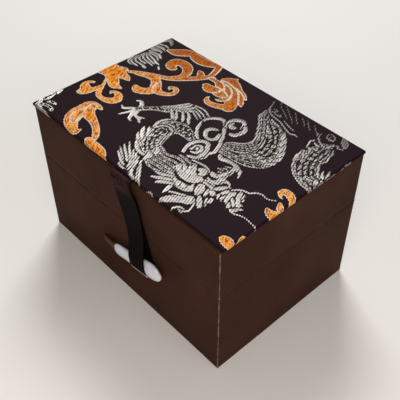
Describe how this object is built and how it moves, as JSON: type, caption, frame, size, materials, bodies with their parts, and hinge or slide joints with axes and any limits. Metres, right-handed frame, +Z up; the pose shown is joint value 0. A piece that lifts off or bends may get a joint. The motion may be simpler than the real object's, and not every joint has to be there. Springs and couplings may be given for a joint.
{
  "type": "brocade gift box",
  "caption": "Small hinged keepsake box covered in brown leatherette, with a padded dragon-and-cloud brocade panel on its lid and a ribbon loop and bone peg clasp",
  "frame": {"origin": "Middle of the underside of the base, on the surface that the closed box stands on", "axes": "+X runs along the front from left to right and is the box's longest side, +Y goes from the front with the clasp to the hinged back, +Z is up"},
  "size_m": [0.1, 0.0735, 0.0627],
  "materials": {
    "leatherette": "dark brown, fine grain, soft sheen",
    "greyboard": "raw grey paper board",
    "sole_paper": "dark brown paper, matte",
    "lining_satin": "golden yellow satin",
    "cotton_wadding": "white cotton wadding, matte",
    "brocade": "woven dragon and cloud brocade, aubergine ground with silver and orange threads",
    "ribbon_satin": "dark brown satin ribbon, glossy folds",
    "tab_cloth": "reddish brown cloth, matte",
    "bone": "polished white bone, slightly translucent"
  },
  "bodies": {
    "base": {"base_board_bottom": "greyboard", "base_wrap": "leatherette", "base_sole": "sole_paper", "base_cushion_cover": "lining_satin", "base_cushion_pad": "cotton_wadding", "hinge_cloth": "leatherette", "hinge_tape": "lining_satin", "base_board_front": "greyboard", "base_board_back": "greyboard", "base_board_left": "greyboard", "base_board_right": "greyboard", "base_lining_front": "lining_satin", "base_lining_back": "lining_satin", "base_lining_left": "lining_satin", "base_lining_right": "lining_satin"},
    "lid": {"lid_board_top": "greyboard", "lid_wrap": "leatherette", "lid_cushion_cover": "lining_satin", "lid_cushion_pad": "cotton_wadding", "panel_card": "greyboard", "panel_wadding": "cotton_wadding", "panel_brocade": "brocade", "clasp_strap": "ribbon_satin", "lid_board_front": "greyboard", "lid_board_back": "greyboard", "lid_board_left": "greyboard", "lid_board_right": "greyboard", "lid_lining_front": "lining_satin", "lid_lining_back": "lining_satin", "lid_lining_left": "lining_satin", "lid_lining_right": "lining_satin"},
    "peg": {"clasp_peg": "bone", "clasp_tab": "tab_cloth"}
  },
  "joints": [
    {"name": "lid_hinge", "type": "hinge", "parent": "base", "child": "lid", "pos_m": [0, 0.03445, 0.03865], "axis": [-1, 0, 0], "range_deg": [0, 105], "deforming": ["clasp_strap", "hinge_cloth", "hinge_tape"]},
    {"name": "peg_swing", "type": "hinge", "parent": "base", "child": "peg", "pos_m": [-0.01295, -0.03425, 0.0208], "axis": [0, 0, -1], "range_deg": [0, 120], "deforming": ["clasp_tab"]}
  ]
}
